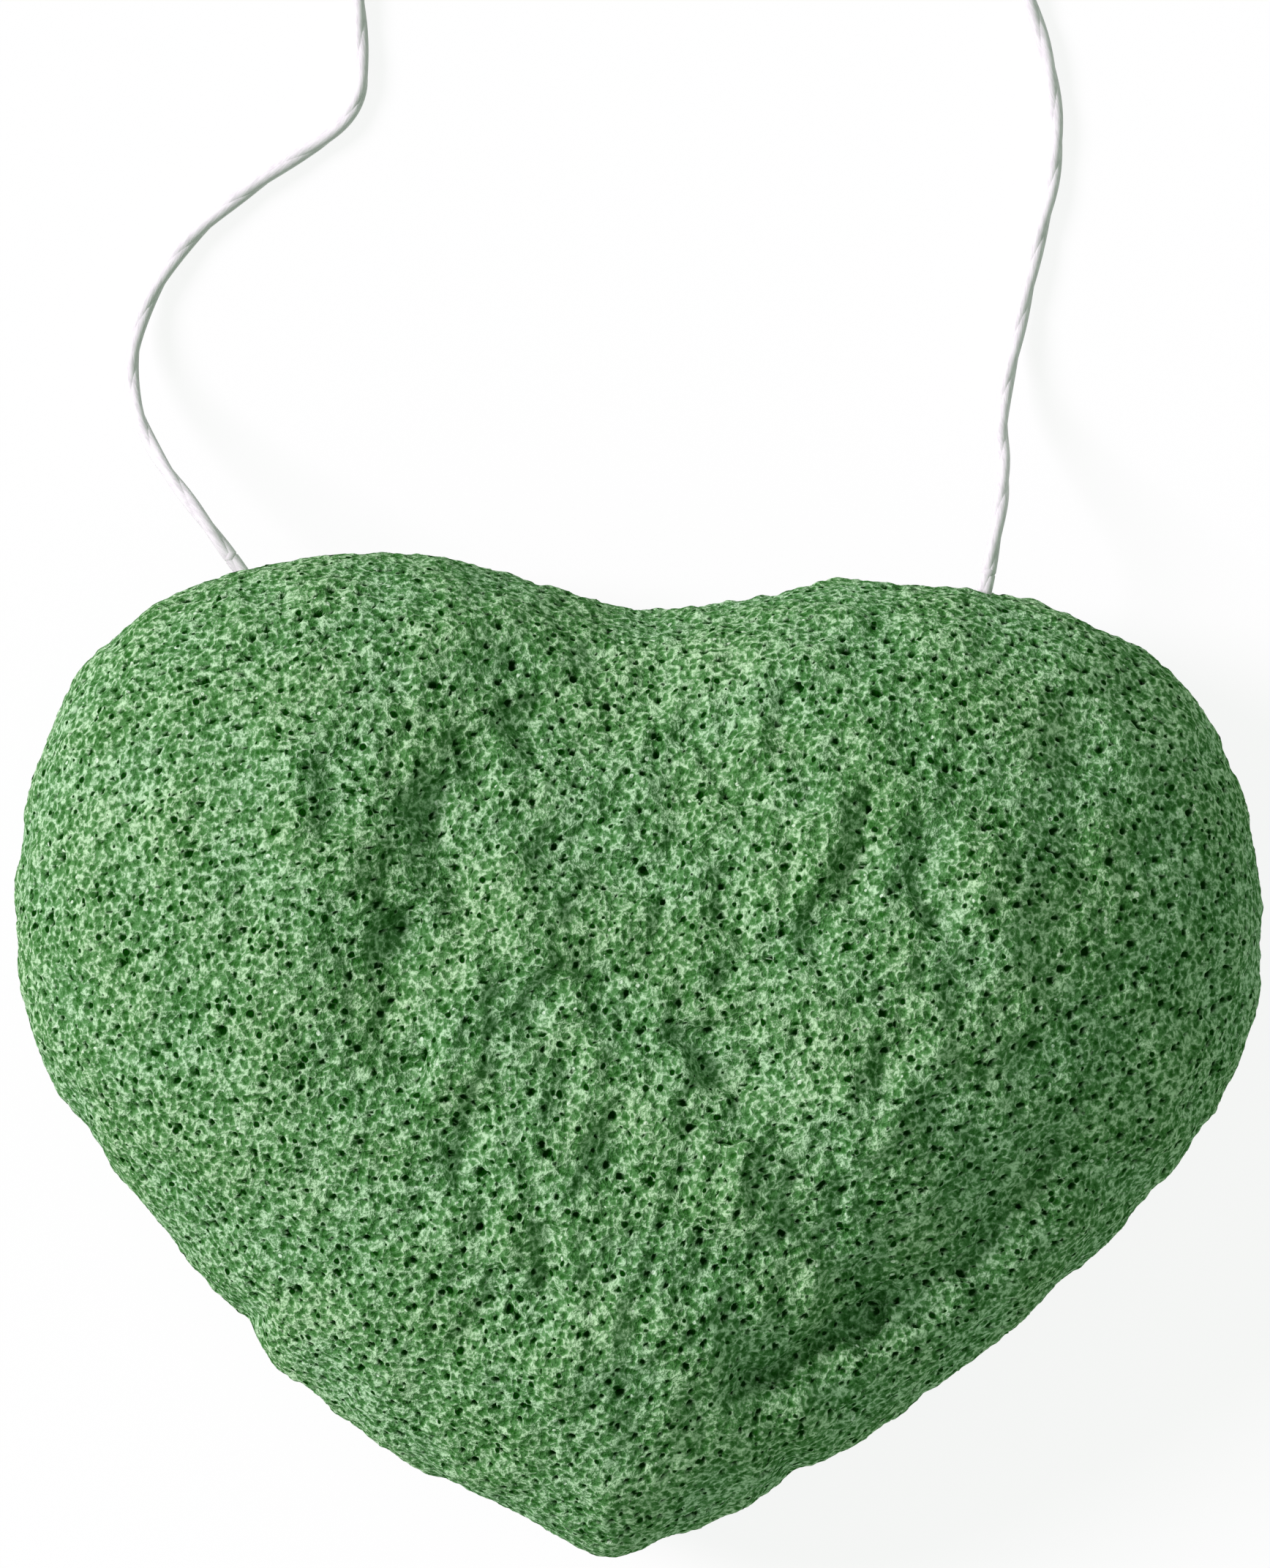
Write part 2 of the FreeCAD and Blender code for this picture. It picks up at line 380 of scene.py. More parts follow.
@dataclass(frozen=True)
class CottonFinish:
    """Undyed cotton string: off-white fibres that lie along each ply."""

    fibre: Colour = (0.735, 0.730, 0.730)
    shade: Colour = (0.600, 0.595, 0.597)
    roughness: float = 0.85
    sheen: float = 0.25
    specular: float = 0.3
    fibre_length: float = 0.0022
    fibres_round: float = 9.0
    slant: float = 900.0
    fibre_scale: float = 2.6
    fibre_detail: float = 3.0
    fibre_roughness: float = 0.65
    fibre_span: Span = (0.32, 0.62)
    bump_depth: float = 0.00005
    bump_strength: float = 0.7

    def material(self) -> bpy.types.Material:
        """Builds the string's material.

        Returns:
            The material, which reads the mesh's own "along" and "around" attributes.
        """
        material, bench = new_material("cotton string")
        along = bench.add("ShaderNodeAttribute", {"attribute_name": "along"}).out("Fac")
        around = bench.add("ShaderNodeAttribute", {"attribute_name": "around"}).out("Fac")
        turn = (around + along * self.slant / self.fibres_round) * TURN
        round_ply = {0: turn.math("COSINE", turn, 0.0), 1: turn.math("SINE", turn, 0.0)}
        lay = bench.add("ShaderNodeCombineXYZ", None, {**round_ply, 2: along / self.fibre_length})
        fibres = bench.noise(lay, 1 / self.fibre_scale, self.fibre_detail, self.fibre_roughness)
        bump = {"Strength": self.bump_strength, "Distance": self.bump_depth, "Height": fibres}
        bench.coat({
            "Base Color": bench.blend(fibres.step(*self.fibre_span), solid(self.shade), solid(self.fibre)),
            "Roughness": self.roughness,
            "Sheen Weight": self.sheen,
            "Specular IOR Level": self.specular,
            "Normal": bench.add("ShaderNodeBump", None, bump),
        })
        return material


@dataclass(frozen=True)
class FloorFinish:
    """White studio floor that keeps a pale shadow."""

    white: Colour = (0.95, 0.95, 0.95)
    glow_share: float = 0.88

    def material(self) -> bpy.types.Material:
        """Builds the floor's material.

        Returns:
            The material, mostly plain white to the camera.
        """
        material, bench = new_material("white floor")
        ray = bench.add("ShaderNodeLightPath")
        seen = ray.out("Is Camera Ray") + ray.out("Is Glossy Ray") + ray.out("Is Transmission Ray")
        matt = bench.add("ShaderNodeBsdfDiffuse", None, {"Color": solid(self.white)})
        glow = bench.add("ShaderNodeEmission", None, {"Strength": 1.0})
        mixed = bench.add("ShaderNodeMixShader", None, {0: seen * self.glow_share, 1: matt, 2: glow})
        bench.add("ShaderNodeOutputMaterial", None, {"Surface": mixed})
        return material


@dataclass(frozen=True)
class Fold:
    """A soft ridge of the domed face along plan points, or a furrow where its height is below zero."""

    points: tuple[Plan, ...]
    height: float
    half_width: float
    fade_share: float = 0.22

    def lift(self, plan: np.ndarray) -> np.ndarray:
        """How far the fold lifts each plan point, less and less towards both of its ends.

        Args:
            plan: Plan points, one a row.

        Returns:
            One height for each point.
        """
        path = np.array(self.points)
        runs = np.linalg.norm(np.diff(path, axis=0), axis=1)
        starts = np.concatenate(([0.0], np.cumsum(runs)))
        nearest = np.full(len(plan), np.inf)
        share = np.zeros(len(plan))
        for start, end, before, run in zip(path, path[1:], starts, runs):
            along = np.clip((plan - start) @ (end - start) / run ** 2, 0, 1)
            gap = np.linalg.norm(plan - start - along[:, None] * (end - start), axis=1)
            closer = gap < nearest
            nearest[closer] = gap[closer]
            share[closer] = (before + along[closer] * run) / starts[-1]
        fade = np.clip(np.minimum(share, 1 - share) / self.fade_share, 0, 1)
        fade = fade * fade * (3 - 2 * fade)
        return self.height * fade * np.exp(-((nearest / self.half_width) ** 2))


@dataclass(frozen=True)
class Swell:
    """A soft lump of the domed face, or a hollow where its height is below zero."""

    centre: Plan
    spread: Plan
    height: float
    turn: float = 0.0

    def lift(self, plan: np.ndarray) -> np.ndarray:
        """How far the lump lifts each plan point.

        Args:
            plan: Plan points, one a row.

        Returns:
            One height for each point.
        """
        angle = math.radians(self.turn)
        away = plan - np.array(self.centre)
        across = away[:, 0] * math.cos(angle) + away[:, 1] * math.sin(angle)
        along = away[:, 1] * math.cos(angle) - away[:, 0] * math.sin(angle)
        return self.height * np.exp(-((across / self.spread[0]) ** 2) - (along / self.spread[1]) ** 2)


@dataclass(frozen=True)
class Ripple:
    """A smooth, seeded random field over the plan, made of waves of about one length."""

    size: float
    seed: int
    waves: int = 24
    uneven: Span = (0.6, 1.4)

    def height(self, plan: np.ndarray) -> np.ndarray:
        """The field at each plan point, mostly between -1 and 1.

        Args:
            plan: Plan points, one a row.

        Returns:
            One value for each point.
        """
        draw = np.random.default_rng(self.seed)
        total = np.zeros(len(plan))
        for _ in range(self.waves):
            turn, phase = draw.uniform(0, TURN, 2)
            number = TURN / self.size * draw.uniform(*self.uneven)
            total += np.sin(number * (plan @ np.array((math.cos(turn), math.sin(turn)))) + phase)
        return total / math.sqrt(self.waves)


@dataclass(frozen=True)
class Bulge:
    """A stretch of the outline that stands out from the moulded heart, or is drawn in below zero."""

    angle: float
    spread: float
    amount: float


@dataclass(frozen=True)
class PoreLayer:
    """Pores of one size, scattered over the whole skin."""

    name: str
    spacing: float
    least_radius: float
    largest_radius: float
    depth_share: float
    seed: int


@dataclass
class SpongeBody:
    """The moulded sponge: a heart with a domed, creased and porous face and a flat back."""

    foam: FoamFinish
    rings: int = 190
    crown_roundness: float = 2.3
    side_roundness: float = 2.0
    back_inset: float = 0.006
    soft_angle: float = 16.0
    soft_reach: float = 2.0
    soft_samples: int = 33
    soft_steps: int = 720
    outline_steps: int = 1440
    profile_steps: int = 4000
    relief_rise: float = 2.5
    fill: float = 0.85
    clear_of_hole: float = 0.001
    hole_radius: float = 0.0011
    hole_depth: float = 0.0016
    hole_edge: Span = (0.5, 1.7)
    bulges: tuple[Bulge, ...] = (
        Bulge(237, 17, 0.0010),
        Bulge(-35, 30, -0.0006),
        Bulge(50, 13, -0.0006),
        Bulge(78, 8, 0.0005),
        Bulge(131, 8, -0.0004),
        Bulge(148, 7, 0.0003),
        Bulge(184, 6, 0.0004),
        Bulge(216.5, 1.5, -0.0003),
        Bulge(223, 4, 0.0006),
        Bulge(-66, 2.5, -0.0005),
        Bulge(-27, 5, -0.0002),
        Bulge(-12, 5, -0.0004),
        Bulge(-1, 4, -0.0004),
        Bulge(26, 7, -0.0004),
        Bulge(62, 4, -0.0004),
        Bulge(104, 4, 0.0003),
    )
    folds: tuple[Fold, ...] = (
        Fold(
            ((-0.0146, 0.0195), (-0.0139, 0.0165), (-0.0132, 0.0140), (-0.0128, 0.0122), (-0.0116, 0.0098),
             (-0.0106, 0.0072)),
            -0.0012, 0.0017,
        ),
        Fold(
            ((-0.0140, 0.0102), (-0.0157, 0.0082), (-0.0164, 0.0060), (-0.0163, 0.0020), (-0.0160, -0.0003),
             (-0.0150, -0.0032)),
            -0.0012, 0.0017,
        ),
        Fold(((-0.0108, -0.0006), (-0.0106, -0.0050), (-0.0114, -0.0100)), -0.0007, 0.0012),
        Fold(((-0.0120, 0.0024), (-0.0090, 0.0018), (-0.0070, 0.0028), (-0.0048, 0.0060)), -0.0005, 0.0010),
        Fold(((-0.0048, 0.0034), (-0.0044, 0.0012), (-0.0046, -0.0012)), -0.0005, 0.0010),
        Fold(((-0.0014, -0.0020), (-0.0006, -0.0050), (-0.0004, -0.0090)), -0.0008, 0.0013),
        Fold(((-0.0080, 0.0153), (-0.0050, 0.0135), (-0.0020, 0.0122), (0.0004, 0.0104)), -0.0009, 0.0016),
        Fold(((-0.0085, 0.0250), (-0.0083, 0.0220), (-0.0080, 0.0190)), -0.0006, 0.0012),
        Fold(((-0.0124, 0.0225), (-0.0113, 0.0195), (-0.0103, 0.0168)), -0.0007, 0.0014),
        Fold(((-0.0172, 0.0212), (-0.0170, 0.0175)), -0.0004, 0.0009),
        Fold(((-0.0213, 0.0200), (-0.0208, 0.0170), (-0.0206, 0.0135)), -0.0005, 0.0011),
        Fold(((-0.0262, 0.0132), (-0.0260, 0.0100), (-0.0262, 0.0055)), -0.0006, 0.0013),
        Fold(
            ((0.0141, 0.0220), (0.0147, 0.0180), (0.0142, 0.0155), (0.0137, 0.0125), (0.0125, 0.0100),
             (0.0113, 0.0070)),
            -0.0010, 0.0013,
        ),
        Fold(((0.0190, 0.0180), (0.0190, 0.0140), (0.0188, 0.0094)), -0.0006, 0.0012),
        Fold(
            ((0.0060, 0.0156), (0.0060, 0.0110), (0.0068, 0.0078), (0.0056, 0.0056), (0.0040, 0.0044)),
            -0.0008, 0.0013,
        ),
        Fold(((0.0024, 0.0036), (0.0055, 0.0000), (0.0078, -0.0010), (0.0112, -0.0006)), -0.0009, 0.0016),
        Fold(((0.0167, 0.0072), (0.0174, 0.0038), (0.0169, 0.0015), (0.0162, -0.0024)), -0.0007, 0.0012),
        Fold(((0.0091, 0.0268), (0.0090, 0.0240), (0.0088, 0.0208)), -0.0006, 0.0012),
        Fold(((0.0033, 0.0236), (0.0039, 0.0205), (0.0050, 0.0170)), -0.0006, 0.0012),
        Fold(((0.0010, 0.0208), (0.0022, 0.0180), (0.0020, 0.0145)), -0.0004, 0.0011),
        Fold(((0.0274, 0.0268), (0.0281, 0.0236), (0.0284, 0.0200)), -0.0009, 0.0018),
        Fold(((0.0278, 0.0184), (0.0292, 0.0150), (0.0301, 0.0116)), -0.0005, 0.0012),
        Fold(((-0.0116, -0.0200), (-0.0096, -0.0170), (-0.0062, -0.0145)), -0.0008, 0.0012),
        Fold(((-0.0052, -0.0098), (-0.0051, -0.0130), (-0.0050, -0.0170)), -0.0006, 0.0011),
        Fold(((-0.0008, -0.0124), (-0.0010, -0.0145), (-0.0018, -0.0170)), -0.0004, 0.0009),
        Fold(((-0.0145, -0.0225), (-0.0115, -0.0245), (-0.0070, -0.0275)), -0.0005, 0.0014),
        Fold(
            ((0.0070, -0.0248), (0.0155, -0.0203), (0.0215, -0.0168), (0.0272, -0.0120), (0.0330, -0.0050)),
            0.0007, 0.0022, 0.15,
        ),
        Fold(
            ((0.0055, -0.0218), (0.0100, -0.0205), (0.0140, -0.0174), (0.0168, -0.0157), (0.0200, -0.0138)),
            -0.0017, 0.0010,
        ),
        Fold(
            ((0.0180, -0.0147), (0.0215, -0.0131), (0.0240, -0.0118), (0.0251, -0.0093), (0.0273, -0.0064),
             (0.0286, -0.0041), (0.0320, -0.0008)),
            -0.0011, 0.0009,
        ),
        Fold(((0.0150, -0.0190), (0.0190, -0.0166), (0.0225, -0.0142)), -0.0005, 0.0006),
        Fold(((0.0212, -0.0105), (0.0238, -0.0080), (0.0262, -0.0048)), -0.0005, 0.0008),
        Fold(((-0.0012, 0.0215), (-0.0006, 0.0175), (-0.0010, 0.0132)), 0.0006, 0.0013),
        Fold(((0.0118, 0.0198), (0.0118, 0.0155), (0.0110, 0.0118)), 0.0006, 0.0011),
        Fold(((0.0070, -0.0036), (0.0073, -0.0070), (0.0070, -0.0112)), 0.0013, 0.0022),
        Fold(((0.0235, 0.0178), (0.0237, 0.0120), (0.0233, 0.0060)), 0.0008, 0.0028),
        Fold(((-0.0120, 0.0040), (-0.0120, -0.0030)), 0.0007, 0.0014),
    )
    swells: tuple[Swell, ...] = (
        Swell((-0.0008, 0.0179), (0.0110, 0.0170), -0.0017),
        Swell((-0.0153, 0.0111), (0.0045, 0.0110), -0.0014, -17.0),
        Swell((0.0185, -0.0140), (0.0032, 0.0130), -0.0018, -50.6),
        Swell((0.0185, 0.0050), (0.0095, 0.0130), 0.0013),
        Swell((0.0160, -0.0035), (0.0048, 0.0034), 0.0012),
        Swell((0.0064, 0.0012), (0.0022, 0.0024), -0.0012),
        Swell((-0.0218, 0.0110), (0.0062, 0.0120), 0.0009),
        Swell((-0.0065, 0.0238), (0.0055, 0.0048), -0.0012),
        Swell((0.0330, 0.0270), (0.0035, 0.0030), -0.0008),
        Swell((0.0240, 0.0280), (0.0022, 0.0020), -0.0005),
        Swell((0.0385, 0.0050), (0.0027, 0.0032), -0.0010),
        Swell((0.0325, 0.0030), (0.0022, 0.0030), -0.0006),
        Swell((-0.0200, -0.0175), (0.0018, 0.0018), -0.0006),
        Swell((-0.0125, -0.0220), (0.0022, 0.0020), -0.0006),
        Swell((0.0026, -0.0055), (0.0014, 0.0022), 0.0006),
        Swell((-0.0112, 0.0042), (0.0013, 0.0016), 0.0006),
        Swell((-0.0066, 0.0077), (0.0018, 0.0022), 0.0010),
        Swell((-0.0157, 0.0189), (0.0013, 0.0016), 0.0006),
        Swell((-0.0200, 0.0120), (0.0017, 0.0018), 0.0006),
        Swell((-0.0237, 0.0193), (0.0018, 0.0020), 0.0008),
        Swell((0.0198, 0.0020), (0.0015, 0.0018), 0.0008),
        Swell((-0.0030, -0.0210), (0.0032, 0.0028), 0.0009),
        Swell((0.0045, -0.0180), (0.0030, 0.0024), 0.0007),
        Swell((0.0070, 0.0275), (0.0040, 0.0024), 0.0005),
    )
    pore_layers: tuple[PoreLayer, ...] = (
        PoreLayer("Wide pore", 0.0055, 0.00024, 0.00046, 1.1, 3),
        PoreLayer("Middle pore", 0.0015, 0.00017, 0.00034, 1.3, 11),
    )
    fold_wander: float = 0.00028
    wander_size: float = 0.0045
    wander_seeds: tuple[int, int] = (5, 6)
    lump_size: float = 0.0055
    lump_height: float = 0.00034
    streak_size: float = 0.0022
    streak_height: float = 0.00050
    streak_middle: Plan = (0.002, 0.004)
    streak_edge_share: float = 0.30
    streak_near: float = 0.016
    streak_far: float = 0.034
    streak_stretch: float = 0.55
    grain_size: float = 0.0008
    grain_height: float = 0.00009
    pore_warp: float = 0.00022
    pore_warp_size: float = 0.0007
    pit_edge: Span = (0.45, 1.1)
    pore_clearance: float = 0.62
    pore_crowding: float = 1.6
    noise_gain: float = 4.0

    def __post_init__(self) -> None:
        """Takes the overall sizes and the string's exits from the frame."""
        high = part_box("sponge_body")[1]
        self.half_width = high.x
        self.thickness = high.z
        swing = frame["joints"][0]
        self.girth = swing["pos_m"][2]
        left = Vector(swing["pos_m"])
        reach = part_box("cord_threaded")[1].x - left.x
        self.exits = (left, left + Vector(swing["axis"]) * reach)

    @cached_property
    def rim(self) -> tuple[np.ndarray, np.ndarray]:
        """The heart's outline, with the lie of this one sponge.

        Returns:
            Angles from +X over one full turn, and the radius at each.
        """
        mesh = frame["nodes"]["sponge_body"].data
        tree = BVHTree.FromPolygons([v.co for v in mesh.vertices], [tuple(p.vertices) for p in mesh.polygons])
        height = self.girth - self.clear_of_hole
        around = np.linspace(0, TURN, self.outline_steps, endpoint=False)
        radii = []
        for angle in around:
            way = Vector((math.cos(angle), math.sin(angle), 0))
            start = way * (2 * self.half_width) + Vector((0, 0, height))
            radii.append(tree.ray_cast(start, -way)[0].xy.length)
        radii = np.array(radii)
        for bulge in self.bulges:
            away = (np.degrees(around) - bulge.angle + 180) % 360 - 180
            radii += bulge.amount * np.exp(-((away / bulge.spread) ** 2))
        return np.append(around, TURN), np.append(radii, radii[0])

    def outline(self, angles: np.ndarray) -> np.ndarray:
        """Radius of the heart's outline at each angle."""
        return np.interp(angles % TURN, *self.rim)

    def softened(self, angles: np.ndarray) -> np.ndarray:
        """The outline's radius averaged over neighbouring angles, without the sharp tip and cleft.

        Args:
            angles: Angles from +X, in radians.

        Returns:
            The radii, in metres.
        """
        reach = self.soft_reach
        offsets = np.radians(np.linspace(-reach, reach, self.soft_samples) * self.soft_angle)
        weights = np.exp(-((offsets / math.radians(self.soft_angle)) ** 2))
        around = np.linspace(0, TURN, self.soft_steps)
        mean = sum(w * self.outline(around + o) for w, o in zip(weights, offsets)) / weights.sum()
        return np.interp(angles % TURN, around, mean)

    def crown_profile(self) -> tuple[np.ndarray, np.ndarray]:
        """Outline share and height from the crown's middle to the girth, evenly spaced along the skin.

        Returns:
            The shares and the heights, one for each ring.
        """
        turn = np.linspace(math.pi / 2, 0, self.profile_steps)
        share = np.cos(turn).clip(0) ** (2 / self.crown_roundness)
        rise = np.sin(turn).clip(0) ** (2 / self.crown_roundness)
        height = self.girth + (self.thickness - self.girth) * rise
        return self._even(share, height)

    def back_profile(self) -> tuple[np.ndarray, np.ndarray]:
        """Outline share and height from the back's middle round its edge to the girth.

        Returns:
            The shares and the heights, one for each ring.
        """
        edge = 1 - self.back_inset / self.half_width
        turn = np.linspace(math.pi / 2, 0, self.profile_steps)
        share = edge + (1 - edge) * np.cos(turn).clip(0) ** (2 / self.side_roundness)
        height = self.girth * (1 - np.sin(turn) ** (2 / self.side_roundness))
        return self._even(np.append(0, share), np.append(0, height))

    def _even(self, share: np.ndarray, height: np.ndarray) -> tuple[np.ndarray, np.ndarray]:
        """The same profile in evenly spaced rings."""
        runs = np.hypot(np.diff(share) * self.half_width, np.diff(height))
        length = np.append(0, np.cumsum(runs))
        rings = np.linspace(0, length[-1], self.rings + 1)
        return np.interp(rings, length, share), np.interp(rings, length, height)

    def skin(self) -> bpy.types.Mesh:
        """The smooth skin with its creases and lumps, as two square grids bent into a closed heart.

        Returns:
            The mesh, with faces that point outwards.
        """
        size = 2 * self.rings + 1
        step = np.arange(size) - self.rings
        across, along = np.meshgrid(step, step, indexing="ij")
        ring = np.maximum(np.abs(across), np.abs(along))
        sideways = np.abs(across) >= np.abs(along)
        with np.errstate(divide="ignore", invalid="ignore"):
            lean = np.where(sideways, along / across, across / along)
        lean = np.nan_to_num(lean)
        angle = np.where(sideways, math.pi / 4 * lean, math.pi / 2 - math.pi / 4 * lean)
        angle = angle + np.where(np.where(sideways, across, along) < 0, math.pi, 0)
        angle, ring = angle.ravel(), ring.ravel()
        sharp, soft = self.outline(angle), self.softened(angle)
        places = []
        for share, height in (self.crown_profile(), self.back_profile()):
            drawn = share[ring]
            radius = drawn * (drawn * sharp + (1 - drawn) * soft)
            places.append(np.column_stack((radius * np.cos(angle), radius * np.sin(angle), height[ring])))
        top, back = places
        top[:, 2] += self.relief(top)
        return self._closed(top, back, ring == self.rings, size)

    def relief(self, top: np.ndarray) -> np.ndarray:
        """Height that the furrows and lumps add to the domed face, fading out at the girth.

        Args:
            top: Points of the domed face, one a row.

        Returns:
            One height for each point.
        """
        plan = top[:, :2]
        wander = [Ripple(self.wander_size, seed).height(plan) for seed in self.wander_seeds]
        bent = plan + self.fold_wander * np.column_stack(wander)
        lift = np.zeros(len(top))
        for form in (*self.folds, *self.swells):
            lift += form.lift(bent)
        above = (top[:, 2] - self.girth) / (self.thickness - self.girth)
        fade = np.clip(above * self.relief_rise, 0, 1)
        return lift * fade * fade * (3 - 2 * fade)

    @staticmethod
    def _closed(top: np.ndarray, back: np.ndarray, rim: np.ndarray, size: int) -> bpy.types.Mesh:
        """Joins the two grids along the girth into one closed mesh.

        Args:
            top: The domed face's points.
            back: The back's points, in the same order.
            rim: Which points lie on the girth.
            size: How many points each grid has along a side.

        Returns:
            The closed mesh.
        """
        number = np.arange(size * size).reshape(size, size)
        corners = (number[:-1, :-1], number[1:, :-1], number[1:, 1:], number[:-1, 1:])
        quads = np.stack(corners, axis=-1).reshape(-1, 4)
        under = np.where(rim, np.arange(size * size), 0)
        under[~rim] = size * size + np.arange((~rim).sum())
        faces = np.concatenate((quads, under[quads[:, ::-1]]))
        points = np.concatenate((top, back[~rim]))
        mesh = bpy.data.meshes.new("sponge skin")
        mesh.vertices.add(len(points))
        mesh.vertices.foreach_set("co", points.ravel())
        mesh.loops.add(faces.size)
        mesh.loops.foreach_set("vertex_index", faces.ravel())
        mesh.polygons.add(len(faces))
        mesh.polygons.foreach_set("loop_start", np.arange(0, faces.size, 4))
        mesh.update(calc_edges=True)
        mesh.validate()
        return mesh

    def pore_tree(self) -> bpy.types.NodeTree:
        """The tree that roughens the skin and sinks pores and the string's exits into it, and marks them for
        the foam's painted shade.

        Returns:
            The tree, with a named input for each size.
        """
        bench, given = new_tree("foam pores", self.pore_inputs())
        skin = given.out("Geometry")
        place = bench.add("GeometryNodeInputPosition")
        normal = bench.add("GeometryNodeInputNormal")
        rough = self._noise(bench, place, given, "Lump") + self._noise(bench, place, given, "Grain")
        tall = bench.shift("MULTIPLY", place, (1.0, self.streak_stretch, 1.0))
        flat = bench.shift("MULTIPLY", place, (1.0, 1.0, 0.0))
        away = bench.gap(flat, (*self.streak_middle, 0.0))
        fade = 1 - away.step(given.out("Streak near"), given.out("Streak far")) * (1 - self.streak_edge_share)
        rough = rough + self._noise(bench, tall, given, "Streak") * fade
        bent = bench.bent(place, self.pore_warp_size, given.out("Pore warp"))
        sink, hole_shade_mark = 0.0, 0.0
        for layer in self.pore_layers:
            pit, depth = self._pits(bench, skin, bent, given, layer.name)
            sink = pit * depth + sink
            hole_shade_mark = pit.most(hole_shade_mark)
        inner, outer = self.hole_edge
        radius = given.out("Hole radius")
        for point in self.exits:
            hole = 1 - bench.gap(place, point).step(radius * inner, radius * outer)
            sink = hole * given.out("Hole depth") + sink
            hole_shade_mark = hole_shade_mark.most(hole)
        # The "pore" attribute marks the pits and exits, where the foam's material paints shade.
        marked = bench.keep(skin, "pore", hole_shade_mark)
        sunk = {"Geometry": marked, "Offset": bench.stretch(normal, rough - sink)}
        moved = bench.add("GeometryNodeSetPosition", None, sunk)
        parts = bench.add("ShaderNodeSeparateXYZ", None, {0: bench.add("GeometryNodeInputPosition")})
        above_floor = {0: parts, 1: parts.out("Y"), 2: parts.out("Z").most(0.0)}
        resting = bench.add("ShaderNodeCombineXYZ", None, above_floor)
        rested = bench.add("GeometryNodeSetPosition", None, {"Geometry": moved, "Position": resting})
        bench.dress(rested, self.foam.material())
        return bench.tree

    def pore_inputs(self) -> dict[str, float | int]:
        """The tree's named inputs with their values."""
        values: dict[str, float | int] = {
            "Lump size": self.lump_size,
            "Lump height": self.lump_height,
            "Streak size": self.streak_size,
            "Streak height": self.streak_height,
            "Streak near": self.streak_near,
            "Streak far": self.streak_far,
            "Grain size": self.grain_size,
            "Grain height": self.grain_height,
            "Pore warp": 2 * self.pore_warp,
            "Hole radius": self.hole_radius,
            "Hole depth": self.hole_depth,
        }
        for layer in self.pore_layers:
            values[f"{layer.name} spacing"] = layer.spacing
            values[f"{layer.name} least radius"] = layer.least_radius
            values[f"{layer.name} largest radius"] = layer.largest_radius
            values[f"{layer.name} depth share"] = layer.depth_share
            values[f"{layer.name} seed"] = layer.seed
        return values

    def _noise(self, bench: Bench, place: Field, given: Field, name: str) -> Field:
        """Rises and falls of one named size and height.

        Args:
            bench: The bench of the tree.
            place: Where on the skin.
            given: The tree's inputs.
            name: The first word of the two inputs that give its size and height.

        Returns:
            The height, on either side of zero.
        """
        noise = bench.noise(place, given.out(f"{name} size"))
        return (noise - 0.5) * given.out(f"{name} height") * self.noise_gain

    def _pits(self, bench: Bench, skin: Field, place: Field, given: Field, name: str) -> tuple[Field, Field]:
        """Pits of one layer, each at its own point of the skin and of its own radius.

        Args:
            bench: The bench of the tree.
            skin: The skin that the pores are scattered on.
            place: Where on the skin, bent a little so that the pits aren't round.
            given: The tree's inputs.
            name: The layer's name.

        Returns:
            How far inside a pit each place is, from 0 to 1, and that pit's depth.
        """
        spacing = given.out(f"{name} spacing")
        seed = given.out(f"{name} seed")
        scatter = {
            "Mesh": skin,
            "Distance Min": spacing * self.pore_clearance,
            "Density Max": self.pore_crowding / (spacing * spacing),
            "Seed": seed,
        }
        points = bench.add("GeometryNodeDistributePointsOnFaces", {"distribute_method": "POISSON"}, scatter)
        draw = {2: 0.0, 3: 1.0, 8: seed}
        chance = bench.add("FunctionNodeRandomValue", {"data_type": "FLOAT"}, draw, output=1)
        least = given.out(f"{name} least radius")
        radius = least + chance * chance * (given.out(f"{name} largest radius") - least)
        nearest = bench.add("GeometryNodeSampleNearest", None, {"Geometry": points, "Sample Position": place})
        where = {0: points, 1: bench.add("GeometryNodeInputPosition"), 2: nearest}
        middle = bench.add("GeometryNodeSampleIndex", {"data_type": "FLOAT_VECTOR"}, where)
        wide = {0: points, 1: radius, 2: nearest}
        reach = bench.add("GeometryNodeSampleIndex", {"data_type": "FLOAT"}, wide)
        inside = 1 - (bench.gap(place, middle) / reach).step(*self.pit_edge)
        return inside, reach * given.out(f"{name} depth share")

    def build(self) -> bpy.types.Object:
        """Builds the sponge as one piece and sets it on its body.

        Returns:
            The piece.
        """
        skin = self.skin()
        piece = baked_piece("porous_heart", skin, self.pore_tree(), self.pore_inputs())
        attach(piece, Body.SPONGE.value)
        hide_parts("sponge_body")
        return piece


def baked_piece(
    name: str, mesh: bpy.types.Mesh, tree: bpy.types.NodeTree, inputs: dict[str, float | int]
) -> bpy.types.Object:
    """Runs a geometry tree on a mesh and keeps the result as a plain mesh.

    Args:
        name: The piece's name.
        mesh: What the tree starts from.
        tree: The tree.
        inputs: Values of the tree's named inputs.

    Returns:
        The piece, with no modifier left.
    """
    rough = linked(f"{name} rough", mesh)
    work = rough.modifiers.new("work", "NODES")
    work.node_group = tree
    for item in tree.interface.items_tree:
        if item.in_out == "INPUT" and item.name in inputs:
            work[item.identifier] = inputs[item.name]
    done = bpy.data.meshes.new_from_object(rough.evaluated_get(bpy.context.evaluated_depsgraph_get()))
    rough.modifiers.remove(work)
    bpy.data.objects.remove(rough)
    done.name = name
    return linked(name, done)


